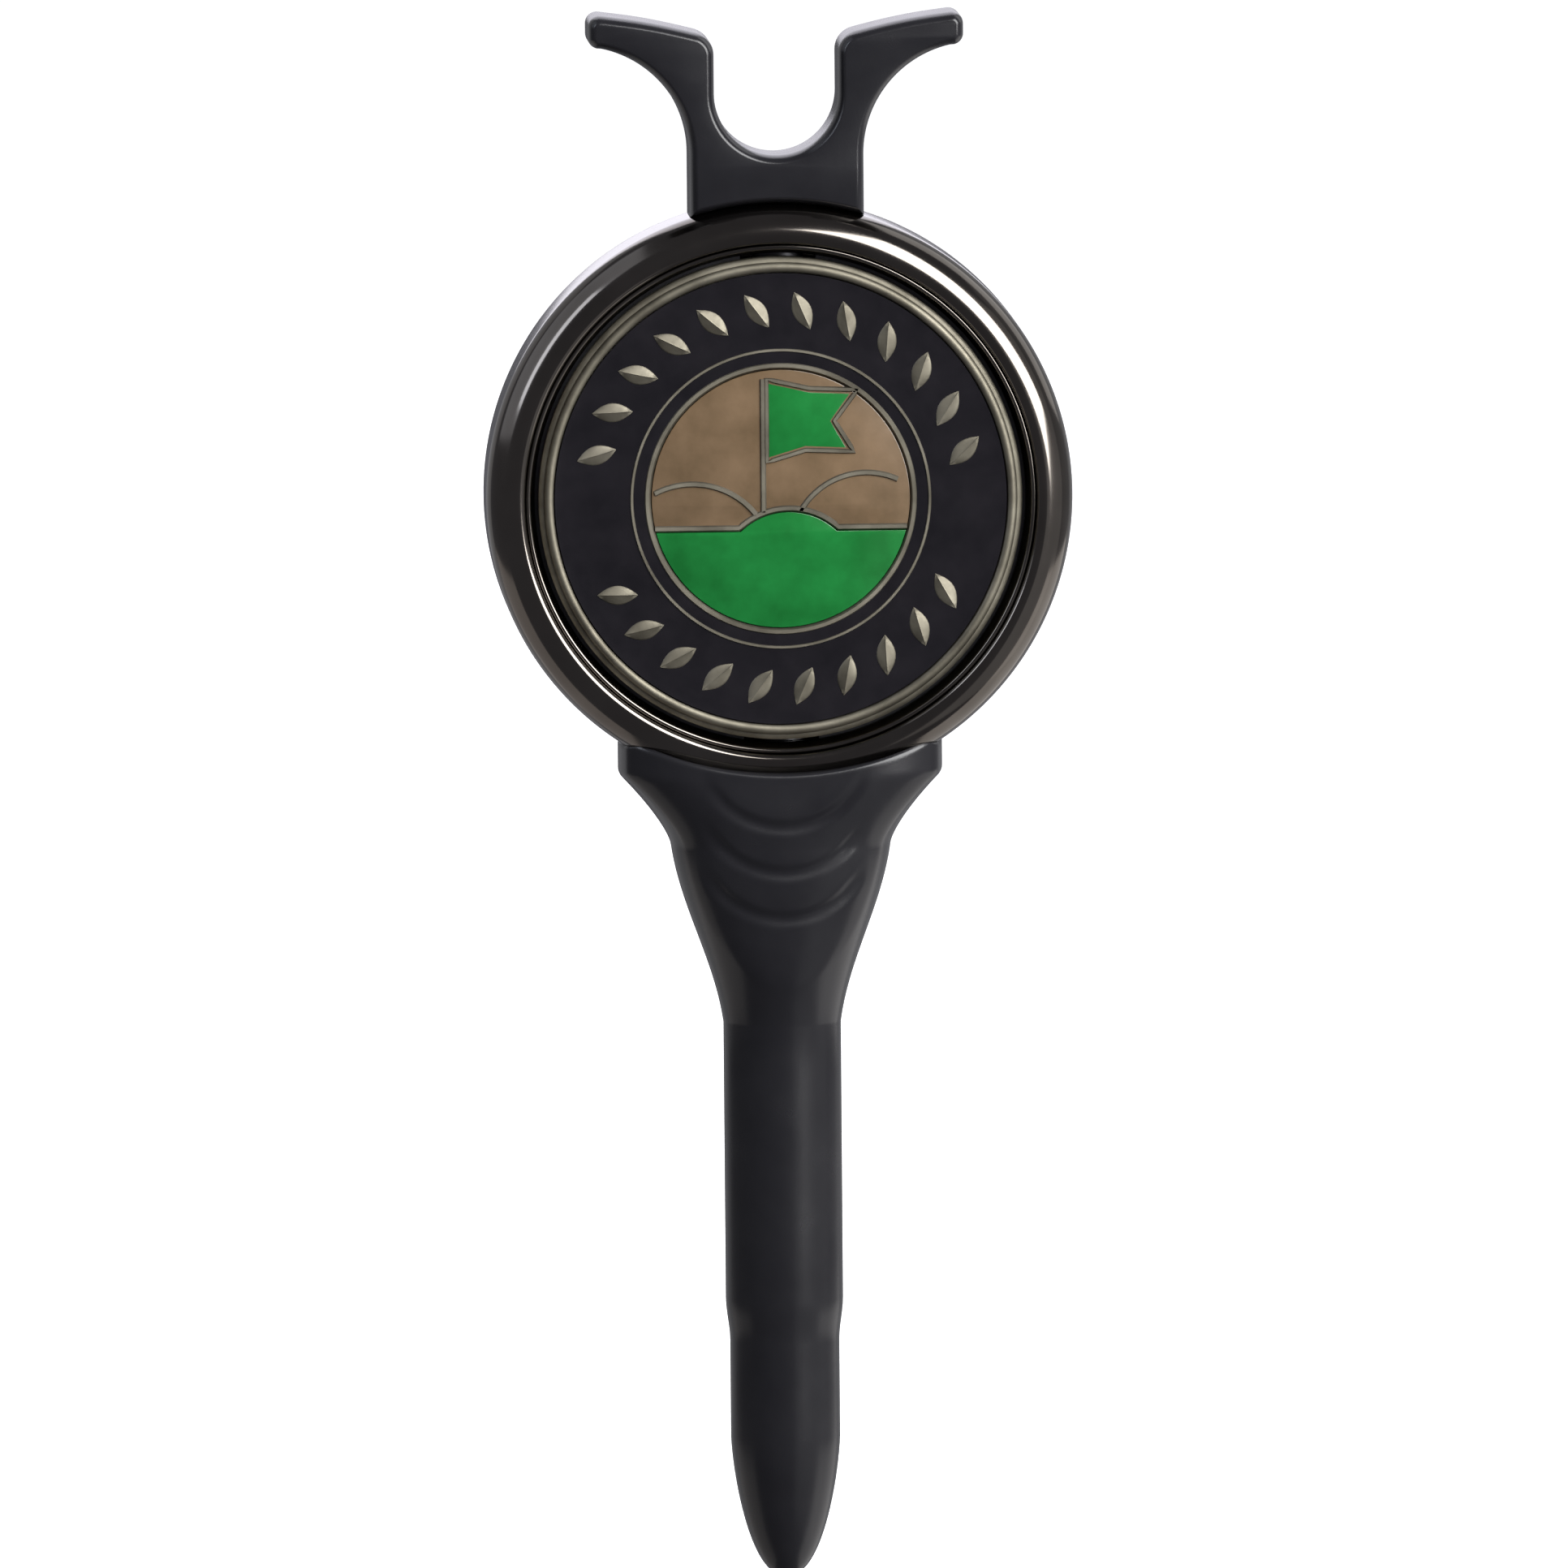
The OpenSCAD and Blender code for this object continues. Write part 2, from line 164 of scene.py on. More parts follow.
BORDER_R = (BORDER_IN + MARKER_R - RIM_W) / 2
LEAF_L = 2.1
LEAF_ARCS = ((12, 90, 76, 30), (10, 270, 60, -30))  # count, middle, half span and slant, in degrees

# ---------------------------------------------------------------- mesh helpers


def finish_mesh(bm, name, sharp_deg=38):
    """Turns a bmesh in millimetres, drawn round the tool's own origin, into a smooth object in metres."""
    bmesh.ops.remove_doubles(bm, verts=bm.verts, dist=1e-5)
    bmesh.ops.recalc_face_normals(bm, faces=bm.faces)
    for face in bm.faces:
        face.smooth = True
    for edge in bm.edges:
        if edge.is_manifold and edge.calc_face_angle(0) > math.radians(sharp_deg):
            edge.smooth = False
    bmesh.ops.scale(bm, vec=(MM, MM, MM), verts=bm.verts)
    mesh = bpy.data.meshes.new(name)
    bm.to_mesh(mesh)
    bm.free()
    obj = bpy.data.objects.new(name, mesh)
    bpy.context.collection.objects.link(obj)
    return obj


def bridge(bm, low, high):
    """Joins two closed rows of vertices with quads."""
    for i in range(len(low)):
        j = (i + 1) % len(low)
        bm.faces.new((low[i], low[j], high[j], high[i]))


def add_lathe(bm, profile, segments):
    """Turns a closed profile of (radius, y) about the case's own axis, which runs along Y."""
    rows = []
    for radius, y in profile:
        if radius < 1e-6:
            vert = bm.verts.new((0, y, CASE_Z))
            rows.append([vert] * segments)
            continue
        row = []
        for i in range(segments):
            a = math.tau * i / segments
            row.append(bm.verts.new((radius * math.cos(a), y, CASE_Z + radius * math.sin(a))))
        rows.append(row)
    for low, high in zip(rows, rows[1:] + rows[:1]):
        for i in range(segments):
            j = (i + 1) % segments
            ring = []
            for vert in (low[i], low[j], high[j], high[i]):
                if vert not in ring:
                    ring.append(vert)
            if len(ring) > 2:
                bm.faces.new(ring)


def spaced(start, stop, count):
    """Evenly spaced values after start, up to and including stop."""
    return [start + (stop - start) * i / count for i in range(1, count + 1)]


def arc(cx, cy, r, a0, a1, steps):
    """Points of an arc, angles in degrees."""
    points = []
    for i in range(steps + 1):
        a = math.radians(a0 + (a1 - a0) * i / steps)
        points.append((cx + r * math.cos(a), cy + r * math.sin(a)))
    return points


def lathe_object(name, profile, segments):
    """One turned piece as an object of its own."""
    bm = bmesh.new()
    add_lathe(bm, profile, segments)
    return finish_mesh(bm, name)


def wear(obj, material):
    """Gives an object one material and no other."""
    obj.data.materials.clear()
    obj.data.materials.append(material)


def place(obj, body, slot, material, *nodes):
    """Gives a piece its material and body, and hides the CAD nodes that it stands for. The slot argument is
    not used.
    """
    wear(obj, material)
    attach(obj, body)
    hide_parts(*nodes)
    for node in nodes:
        wear(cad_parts[node], material)


# ---------------------------------------------------------------- material helpers


class Shader:
    """A small builder for node materials, whose patterns are laid out in object space."""

    def __init__(self, name):
        self.material = bpy.data.materials.new(name)
        self.material.use_nodes = True
        self.tree = self.material.node_tree
        self.bsdf = self.tree.nodes["Principled BSDF"]
        self.coords = self.tree.nodes.new("ShaderNodeTexCoord").outputs["Object"]

    def feed(self, sockets, inputs):
        """Links each named input to another node's output, or sets it to a constant."""
        for key, value in inputs.items():
            socket = sockets[key.replace("_", " ")]
            if isinstance(value, bpy.types.NodeSocket):
                self.tree.links.new(value, socket)
            else:
                socket.default_value = value

    def add(self, kind, **inputs):
        node = self.tree.nodes.new(kind)
        self.feed(node.inputs, inputs)
        return node

    def set(self, **inputs):
        """Feeds the surface shader itself."""
        self.feed(self.bsdf.inputs, inputs)

    def mapped(self, scale):
        return self.add("ShaderNodeMapping", Vector=self.coords, Scale=scale).outputs["Vector"]

    def noise(self, scale, detail=4.0, rough=0.55, vector=None):
        node = self.add(
            "ShaderNodeTexNoise",
            Vector=vector or self.coords,
            Scale=scale,
            Detail=detail,
            Roughness=rough,
        )
        return node.outputs["Fac"]

    def ramp(self, fac, stops):
        """Maps a value through colour stops of (position, colour)."""
        node = self.add("ShaderNodeValToRGB", Fac=fac)
        elements = node.color_ramp.elements
        while len(elements) < len(stops):
            elements.new(0.5)
        for element, (position, colour) in zip(elements, stops):
            element.position = position
            element.color = (*colour, 1)
        return node.outputs["Color"]

    def blend(self, fac, dark, light):
        """Runs from dark to light over the middle of a noise's range."""
        return self.ramp(fac, [(0.3, dark), (0.7, light)])

    def span(self, fac, low, high):
        """Maps 0..1 to low..high."""
        return self.add("ShaderNodeMapRange", Value=fac, To_Min=low, To_Max=high).outputs["Result"]

    def bump(self, height, distance, strength):
        node = self.add("ShaderNodeBump", Height=height, Distance=distance, Strength=strength)
        return node.outputs["Normal"]


def grey(value, tint=(1, 1, 1)):
    """A grey, or a near-grey when it has a tint."""
    return tuple(value * t for t in tint)


def matt_black():
    """Satin moulded black with a fine spark-eroded grain and a little handling shine."""
    s = Shader("matt_black")
    broad = s.noise(260, 3)
    grain = s.noise(9000, 2, 0.6)
    colour = s.blend(broad, grey(0.008, (1, 0.97, 1.2)), grey(0.0115, (1, 0.98, 1.15)))
    s.set(Base_Color=colour, Roughness=s.span(broad, 0.22, 0.3), IOR=1.45)
    s.set(Normal=s.bump(grain, 0.00001, 0.3))
    return s.material


def black_nickel(name, rough=0.13):
    """Polished black nickel: a dark warm metal, slightly uneven, with faint turning lines."""
    s = Shader(name)
    broad = s.noise(190, 3)
    lines = s.noise(1, 2, 0.5, s.mapped((500, 9000, 500)))
    colour = s.blend(broad, (0.12, 0.108, 0.096), (0.16, 0.145, 0.13))
    s.set(Base_Color=colour, Metallic=1.0, Roughness=s.span(broad, rough * 0.75, rough * 1.3))
    s.set(Normal=s.bump(lines, 0.000004, 0.25))
    return s.material


def struck_metal():
    """Antique nickel on struck iron: warm grey in lighter and darker patches."""
    s = Shader("marker_metal")
    broad = s.noise(420, 4)
    fine = s.noise(4200, 3)
    patches = [(0.3, (0.115, 0.105, 0.082)), (0.52, (0.18, 0.166, 0.13)), (0.75, (0.24, 0.222, 0.178))]
    s.set(Base_Color=s.ramp(broad, patches), Metallic=1.0, Roughness=s.span(fine, 0.5, 0.66))
    s.set(Normal=s.bump(fine, 0.00001, 0.35))
    return s.material


def enamel(name, dark, light):
    """Soft enamel: gloss colour, slightly uneven in depth, with a faint orange peel."""
    rough = 0.16
    s = Shader(name)
    broad = s.noise(520, 4)
    peel = s.noise(1500, 2)
    s.set(Base_Color=s.blend(broad, dark, light), Roughness=s.span(peel, rough * 0.8, rough * 1.3))
    s.set(IOR=1.45, Normal=s.bump(peel, 0.00001, 0.25))
    return s.material


def plated_steel(name, low, high, rough):
    """Plain plated steel with a faint grain."""
    s = Shader(name)
    broad = s.noise(300, 3)
    grain = s.noise(1, 3, 0.6, s.mapped((7000, 7000, 500)))
    s.set(Base_Color=s.blend(broad, low, high), Metallic=1.0)
    s.set(Roughness=s.span(grain, rough * 0.8, rough * 1.25), Normal=s.bump(grain, 0.000006, 0.3))
    return s.material


# ---------------------------------------------------------------- tee spike


def smooth(t):
    """Eases 0..1 in and out."""
    return t * t * (3 - 2 * t)


def tee_radius(z):
    """Radius of the turned tee at height z."""
    if z < POINT_L:
        return LOWER_R * (1 - (1 - z / POINT_L) ** POINT_TAPER) ** POINT_ROUND if z > 0 else 0.0
    if z < STEP_Z:
        return LOWER_R
    if z < SHAFT_Z:
        return LOWER_R + (SHAFT_R - LOWER_R) * smooth((z - STEP_Z) / (SHAFT_Z - STEP_Z))
    if z < CONE_Z:
        return SHAFT_R
    if z < FLARE_Z:
        t = (z - CONE_Z) / (FLARE_Z - CONE_Z)
        return SHAFT_R + (CONE_R - SHAFT_R) * (t + (1 - math.cos(math.pi * t)) / 2) / 2
    if z < RIM_Z:
        t = (z - FLARE_Z) / (RIM_Z - FLARE_Z)
        return CONE_R + (CUP_R - CONE_R - CUP_CORNER) * t**FLARE_CURVE
    t = min(1, (z - RIM_Z) / CORNER_H)
    return CUP_R - CUP_CORNER * (1 - t) ** 2


def soft_min(a, b, k):
    """The smaller of two lengths, with the corner between them rounded off."""
    h = max(0.0, k - abs(a - b)) / k
    return min(a, b) - h * h * k / 4


def crown(angle):
    """Distance from the axis to the gently curved front or back of the cup."""
    back = CROWN_R - HALF_CUP
    side = abs(math.sin(angle))
    return math.sqrt(CROWN_R**2 - back**2 * (1 - side**2)) - back * side


def tee_section(z, angle):
    """Distance from the axis to the tee's surface: a circle trimmed softly at the front and the back."""
    rise = min(1.0, max(0.0, (z - CONE_Z) / SOFT_RISE))
    return soft_min(tee_radius(z), crown(angle), SHAFT_SOFT + CUP_SOFT * smooth(rise))


def groove(x, z):
    """Depth of the curved grip grooves at a point of the cone."""
    depth = 0.0
    for i in range(GROOVES):
        centre = GROOVE_TOP + GROOVE_R - i * GROOVE_PITCH
        below = (centre - z) / GROOVE_R
        if below < GROOVE_START:
            continue
        fade = min(1.0, (below - GROOVE_START) / GROOVE_FADE)
        fade *= min(1.0, max(0.0, (GROOVE_REACH - abs(x)) / GROOVE_TAPER))
        t = (GROOVE_R + GROOVE_EDGE - math.hypot(x, z - centre)) / GROOVE_W
        if 0 < t < 1:
            depth += GROOVE_DEPTH * fade * math.sin(math.pi * t) ** 2
    return depth


def case_edge(y):
    """Radius of the case's outer surface at depth y."""
    over = abs(y) - LAND_Y
    if over <= 0:
        return CASE_R
    if over >= EDGE_R:
        return 0.0
    return CREST_R + math.sqrt(EDGE_R**2 - over**2)


def saddle_z(x, y):
    """Height of the cup's seat under the case."""
    lip = LIP_Z + LIP_R - math.sqrt(LIP_R**2 - x**2)
    radius = case_edge(y) + FIT
    if radius <= abs(x):
        return lip
    return min(lip, CASE_Z - math.sqrt(radius**2 - x**2))


def build_tee():
    """The whole moulding in level rows, whose last ones bend up to the saddle that the case sits in."""
    segments = 240
    angles = [math.tau * i / segments for i in range(segments)]
    bm = bmesh.new()
    rows = []

    def row(heights_and_insets):
        verts = []
        for angle, (z, inset) in zip(angles, heights_and_insets):
            r = tee_section(z, angle)
            x, y = r * math.cos(angle), r * math.sin(angle)
            cut = inset + groove(x, z)
            k = (r - cut) / r
            verts.append(bm.verts.new((x * k, y * k, z)))
        rows.append(verts)

    # the point, closed by one pole vertex
    pole = bm.verts.new((0, 0, 0))
    heights = [POINT_L * (1 - math.cos(a)) for a in spaced(0, math.pi / 2, 26)]
    heights += [STEP_Z * 0.8, STEP_Z]
    heights += spaced(STEP_Z, SHAFT_Z, 6) + spaced(SHAFT_Z, CONE_Z, 6) + spaced(CONE_Z, BODY_TOP, 70)
    for z in heights:
        row([(z, 0)] * segments)

    # the flare, whose rows bend up to follow the saddle
    tops = []
    for angle in angles:
        r = tee_section(CASE_Z, angle)
        tops.append(saddle_z(r * math.cos(angle), r * math.sin(angle)))
    for t in spaced(0, 1, 44):
        row([(BODY_TOP + (top - CUP_ROUND - BODY_TOP) * t, 0) for top in tops])
    for a in spaced(0, math.pi / 2, 3):
        rise = CUP_ROUND * math.sin(a)
        inset = CUP_ROUND * (1 - math.cos(a))
        row([(top - CUP_ROUND + rise, inset) for top in tops])

    for i in range(segments):
        bm.faces.new((pole, rows[0][i], rows[0][(i + 1) % segments]))
    for low, high in zip(rows, rows[1:]):
        bridge(bm, low, high)

    # the saddle, shrinking to the middle
    rim = [v.co.copy() for v in rows[-1]]
    last = rows[-1]
    for k in [1 - t for t in spaced(0, 1, 26)[:-1]]:
        verts = []
        for co in rim:
            x, y = co.x * k, co.y * k
            verts.append(bm.verts.new((x, y, saddle_z(x, y))))
        bridge(bm, last, verts)
        last = verts
    centre = bm.verts.new((0, 0, saddle_z(0, 0)))
    for i in range(segments):
        bm.faces.new((last[i], last[(i + 1) % segments], centre))
    return finish_mesh(bm, "tee_spike_moulding", 60)


# ---------------------------------------------------------------- fork


def fork_outline():
    """The fork from the front: points (x, height above the case's centre), right half then left."""
    mouth_r, tip_r, swell = 1.2, 0.6, 0.1
    tip_under, tip_over, mouth_start = -76, 97, 104
    horn_dx = HALF_SPAN - HALF_STEM
    horn_dz = TIP_Z - HORN_END - HOLLOW_Z
    horn_r = (horn_dx**2 + horn_dz**2) / (2 * horn_dx)
    tip_x = HALF_SPAN - tip_r
    hollow_end = math.degrees(math.acos((tip_x - HALF_STEM - horn_r) / horn_r))
    foot = CASE_R + FIT
    foot_a = math.degrees(math.asin(HALF_STEM / foot))
    right = arc(0, 0, foot, 90, 90 - foot_a, 7)
    right += [(HALF_STEM, HOLLOW_Z - 0.6), (HALF_STEM, HOLLOW_Z - 0.2)]
    right += arc(HALF_STEM + horn_r, HOLLOW_Z, horn_r, 180, hollow_end + 1, 30)
    right += arc(tip_x, right[-1][1] + tip_r, tip_r, tip_under, 0, 8)
    right += arc(tip_x, TIP_Z - tip_r, tip_r, 0, tip_over, 8)
    # the top of the horn falls gently, then rounds over into the slot
    mouth = arc(HALF_SLOT + mouth_r, TIP_Z - HORN_DROP - mouth_r, mouth_r, mouth_start, 180, 12)
    start, stop = Vector(right[-1]), Vector(mouth[0])
    for t in spaced(0, 1, 12)[:-1]:
        point = start.lerp(stop, t)
        right.append((point.x, point.y + swell * math.sin(math.pi * t)))
    right += mouth + [(HALF_SLOT, SLOT_Z + 0.5)]
    right += arc(0, SLOT_Z, HALF_SLOT, 0, -90, 24)
    left = [(-x, z) for x, z in reversed(right[1:-1])]
    return right + left


def offset_outline(points, distance):
    """Moves each point of a closed outline inwards along its own normal, with a limit at sharp corners."""
    sharpest = 0.6
    following = points[1:] + points[:1]
    area = sum(p[0] * q[1] - q[0] * p[1] for p, q in zip(points, following))
    turn = 1 if area > 0 else -1
    moved = []
    for i, point in enumerate(points):
        before = Vector(point) - Vector(points[i - 1])
        after = Vector(following[i]) - Vector(point)
        n0 = Vector((-before.y, before.x)).normalized() * turn
        n1 = Vector((-after.y, after.x)).normalized() * turn
        n = (n0 + n1).normalized()
        reach = distance / max(sharpest, n.dot(n0))
        moved.append((point[0] + n.x * reach, point[1] + n.y * reach))
    return moved


def add_slab(bm, outline, y0, y1, bevel, steps, reach=None):
    """Raises an outline in the XZ plane between two depths, with both of its edges rounded.
    The rounding takes bevel off the outline and reaches back along the sides."""
    reach = reach or bevel
    rows = []
    rings = []
    for i in range(steps + 1):
        a = math.pi / 2 * i / steps
        rings.append((bevel * (1 - math.sin(a)), y0 + reach * (1 - math.cos(a))))
    for i in range(steps, -1, -1):
        a = math.pi / 2 * i / steps
        rings.append((bevel * (1 - math.sin(a)), y1 - reach * (1 - math.cos(a))))
    for inset, y in rings:
        loop = offset_outline(outline, inset) if inset > 1e-9 else outline
        rows.append([bm.verts.new((x, y, CASE_Z + z)) for x, z in loop])
    for low, high in zip(rows, rows[1:]):
        bridge(bm, low, high)
    corners = tessellate_polygon([[Vector((x, z, 0)) for x, z in offset_outline(outline, bevel)]])
    for cap in (rows[0], rows[-1]):
        for triangle in corners:
            bm.faces.new([cap[i] for i in triangle])


def build_fork():
    """The moulding with its two horns, the same thickness all over, with soft edges."""
    bm = bmesh.new()
    add_slab(bm, fork_outline(), -HALF_FORK, HALF_FORK, FORK_BEVEL, 8, FORK_ROUND)
    return finish_mesh(bm, "fork_moulding", 50)


# ---------------------------------------------------------------- case


def build_case():
    """The rim: an oval roll at the front with a small inner rounding, and a round roll at the back."""
    inner_round, roll_start, back_chamfer, steps = 0.34, 0.36, 0.08, 28
    crest = BORE_R + roll_start
    profile = [(BORE_R, LEDGE_Y), (BORE_R, case_lo.y + 0.5)]
    profile += arc(BORE_R + inner_round, case_lo.y + inner_round, inner_round, 180, 270, 10)
    for a in spaced(0, math.pi / 2, steps):
        profile.append((crest + (CASE_R - crest) * math.sin(a), -LAND_Y - EDGE_R * math.cos(a)))
    profile += arc(CREST_R, LAND_Y, EDGE_R, 0, 88, steps)
    profile += [(COVER_R + FIT, case_hi.y - back_chamfer), (COVER_R + FIT, cover_lo.y)]
    profile += [(INNER_R, cover_lo.y), (INNER_R, LEDGE_Y)]
    return lathe_object("case_rim", profile, 320)


def build_bezel():
    """A bead just inside the rim, then a steep wall down to the marker's edge."""
    bead, chamfer, lean = 0.13, 0.05, 0.04
    top = bezel_lo.y
    wall_foot, wall_step, wall_top = MARKER_FRONT + 0.75, MARKER_FRONT + 0.6, top + 0.3
    profile = [(BEZEL_IN, SEAT_Y - FIT), (BEZEL_IN, wall_foot)]
    profile += [(BEZEL_IN + chamfer, wall_step), (BEZEL_OUT - 2 * bead - lean, wall_top)]
    profile += arc(BEZEL_OUT - bead, top + bead, bead, 190, 350, 10)
    profile += [(BEZEL_OUT, top + bead + 0.1), (BEZEL_OUT, SEAT_Y - FIT)]
    return lathe_object("bezel_bead", profile, 320)


def build_cover():
    """Back cover with a rounded rim, a fine raised ring and a shallow dish."""
    out = cover_hi.y
    dish_r = COVER_R * 0.4
    profile = [(0, cover_lo.y), (COVER_R, cover_lo.y), (COVER_R, out - COVER_ROUND)]
    profile += arc(COVER_R - COVER_ROUND, out - COVER_ROUND, COVER_ROUND, 0, 90, 6)
    profile += [(COVER_R - inset, out - depth) for inset, depth in COVER_FACE]
    profile += [(dish_r, out - 0.2), (0, out - 0.18)]
    return lathe_object("back_cover_disc", profile, 256)


# ---------------------------------------------------------------- ball marker


def polar(r, degrees):
    """A point of the marker's face, at a distance and a direction from its middle."""
    a = math.radians(degrees)
    return Vector((r * math.cos(a), r * math.sin(a)))


def add_ribbon(bm, points, width, base_y, top_y, closed=False):
    """A raised line with a rounded top, drawn along points (x, z) on the marker's face."""
    points = [Vector(p) for p in points]
    count = len(points)
    section = [(-0.5, 0.0), (-0.46, 0.72), (-0.22, 0.97), (0.22, 0.97), (0.46, 0.72), (0.5, 0.0)]
    rows = []
    for i, p in enumerate(points):
        before = points[i - 1] if closed or i else p
        after = points[(i + 1) % count] if closed or i < count - 1 else p
        d = (after - before).normalized()
        side = Vector((-d.y, d.x))
        rows.append([
            bm.verts.new((
                p.x + side.x * width * s,
                base_y + (top_y - base_y) * h,
                CASE_Z + p.y + side.y * width * s,
            ))
            for s, h in section
        ])
    pairs = list(zip(rows, rows[1:]))
    if closed:
        pairs.append((rows[-1], rows[0]))
    for low, high in pairs:
        bridge(bm, low, high)
    if not closed:
        bm.faces.new(rows[0])
        bm.faces.new(rows[-1])


def add_leaf(bm, centre, degrees, length):
    """One raised leaf with a ridge down its middle; its foot is sunk in the enamel."""
    rows = []
    steps = 12
    width, thinnest = length * 0.5, 0.012
    along = polar(1, degrees)
    across = Vector((-along.y, along.x))
    top = ENAMEL_Y - LINE_Y
    section = [(-1, -0.6), (-0.95, 0.0), (-0.8, 0.5), (-0.12, 0.62), (0, 1)]
    section += [(-s, h) for s, h in reversed(section[:-1])]
    for i in range(steps + 1):
        t = i / steps
        half = max(thinnest, width / 2 * math.sin(math.pi * t) ** 0.85)
        lift = top * (0.45 + 0.55 * math.sin(math.pi * t) ** 0.5)
        row = []
        for s, h in section:
            p = centre + along * length * (t - 0.5) + across * half * s
            row.append(bm.verts.new((p.x, ENAMEL_Y - h * lift, CASE_Z + p.y)))
        rows.append(row)
    for low, high in zip(rows, rows[1:]):
        bridge(bm, low, high)
    bm.faces.new(rows[0])
    bm.faces.new(rows[-1])


def leaf_places():
    """Centre and direction of every leaf: an upper arc and a lower arc, like a coin's border."""
    for count, middle, half, slant in LEAF_ARCS:
        for i in range(count):
            a = middle + half - 2 * half * i / (count - 1)
            yield polar(BORDER_R, a), a + slant


def ground_line(grow=0.0):
    """Top of the ground from left to right: the horizon with a low mound on it."""
    level = HORIZON + grow
    reach = math.sqrt((PICTURE_R - FIT) ** 2 - level**2)
    r = MOUND_R + grow
    half = math.degrees(math.acos((level - MOUND.y) / r))
    return [(-reach, level)] + arc(MOUND.x, MOUND.y, r, 90 + half, 90 - half, 24) + [(reach, level)]


def pennant(grow=0.0):
    """Outline of the flag, whose free end is notched like a swallow's tail."""
    x, z = STICK_X, PENNANT_Z
    return [
        (x, z - grow),
        (x, z + 3.9 + grow),
        (x + 2.2, z + 3.4 + grow),
        (x + 4.3 + 2 * grow, z + 3.3 + grow),
        (x + 3.3 + grow, z + 1.9),
        (x + 4.1 + 2 * grow, z + 0.5 - grow),
        (x + 2, z + 0.6 - grow),
    ]


def build_marker():
    """The struck coin: its rim, two rings, the leaves of the border and the raised lines of the picture."""
    bm = bmesh.new()
    rim_in = MARKER_R - RIM_W
    round_r, shoulder, chamfer, back_chamfer = 0.26, 0.28, 0.12, 0.15
    crest_r = rim_in + shoulder
    shoulder_y = MARKER_FRONT + shoulder
    profile = [(0, SEAT_Y), (MARKER_R - back_chamfer, SEAT_Y), (MARKER_R, SEAT_Y - back_chamfer)]
    profile += [(MARKER_R, shoulder_y + chamfer), (MARKER_R - chamfer, shoulder_y)]
    profile += arc(crest_r, MARKER_FRONT + round_r, round_r, 0, -180, 16)
    profile += [(rim_in, FLOOR_Y), (0, FLOOR_Y)]
    add_lathe(bm, profile, 320)
    for r, width in ((PICTURE_R + LINE_W / 2, LINE_W), (FINE_RING_R, FINE_RING_W)):
        ring = arc(0, 0, r, 0, 360, 240)[:-1]
        add_ribbon(bm, ring, width, LINE_FOOT_Y, LINE_Y, closed=True)
    for centre, degrees in leaf_places():
        add_leaf(bm, centre, degrees, LEAF_L)
    lines = [ground_line(LINE_W / 2)]
    lines += [arc(*hill, 24) for hill in HILLS]
    lines.append([(STICK_X - LINE_W / 2, z) for z in STICK_ZS])
    for points in lines:
        add_ribbon(bm, points, LINE_W, LINE_FOOT_Y, LINE_Y)
    edge = pennant(LINE_W / 2)
    dense = []
    for i, p in enumerate(edge):
        q = edge[(i + 1) % len(edge)]
        dense += [Vector(p).lerp(Vector(q), k / 6) for k in range(6)]
    add_ribbon(bm, dense, LINE_W * 0.85, LINE_FOOT_Y, LINE_Y, closed=True)
    return finish_mesh(bm, "marker_coin", 42)


def add_enamel(bm, outline, top_y):
    """An enamel fill: flat on top, with a soft edge where it meets the metal."""
    add_slab(bm, outline, top_y, FLOOR_Y, ENAMEL_EDGE, 2)


def build_enamel_black():
    """The border's fill, which climbs a little where it meets the rings and the rim."""
    bm = bmesh.new()
    inner = PICTURE_R + LINE_W * 0.5
    outer = MARKER_R - RIM_W - FIT
    rise = 0.035
    profile = [(inner, FLOOR_Y), (inner, ENAMEL_Y)]
    profile += [(PICTURE_R + widths * LINE_W, ENAMEL_Y - rise * 0.5) for widths in (1, 2.2, 2.8)]
    profile += [(PICTURE_R + 3.4 * LINE_W, ENAMEL_Y), (outer - 0.45, ENAMEL_Y)]
    profile += [(outer - 0.15, ENAMEL_Y - rise * 0.5), (outer, ENAMEL_Y - rise), (outer, FLOOR_Y)]
    add_lathe(bm, profile, 256)
    return finish_mesh(bm, "enamel_border")


def build_enamel_green():
    """The ground and the flag."""
    bm = bmesh.new()
    top = ground_line()
    start = math.degrees(math.atan2(top[-1][1], top[-1][0]))
    bowl = arc(0, 0, PICTURE_R - FIT, start, -180 - start, 60)
    add_enamel(bm, top + bowl[1:-1], ENAMEL_Y)
    add_enamel(bm, pennant(), ENAMEL_Y)
    return finish_mesh(bm, "enamel_ground")


def build_enamel_sky():
    """The sky, which lies a little deeper than the ground; the flag's enamel stands in it."""
    bm = bmesh.new()
    line = ground_line(LINE_W * 0.5)
    start = math.degrees(math.atan2(line[-1][1], line[-1][0]))
    sky = arc(0, 0, PICTURE_R - FIT, start, 180 - start, 80)
    add_enamel(bm, sky + line[1:-1], ENAMEL_Y + SKY_SINK)
    return finish_mesh(bm, "enamel_sky_fill")


# ---------------------------------------------------------------- studio


def floor_material():
    """White paper: most of its light is its own, so that it stays pale from every side."""
    s = Shader("studio_white")
    tone = s.noise(3, 2)
    s.set(Base_Color=s.blend(tone, grey(0.6), grey(0.64)), Roughness=0.9)
    s.set(Emission_Color=(1, 1, 1, 1), Emission_Strength=0.95)
    return s.material


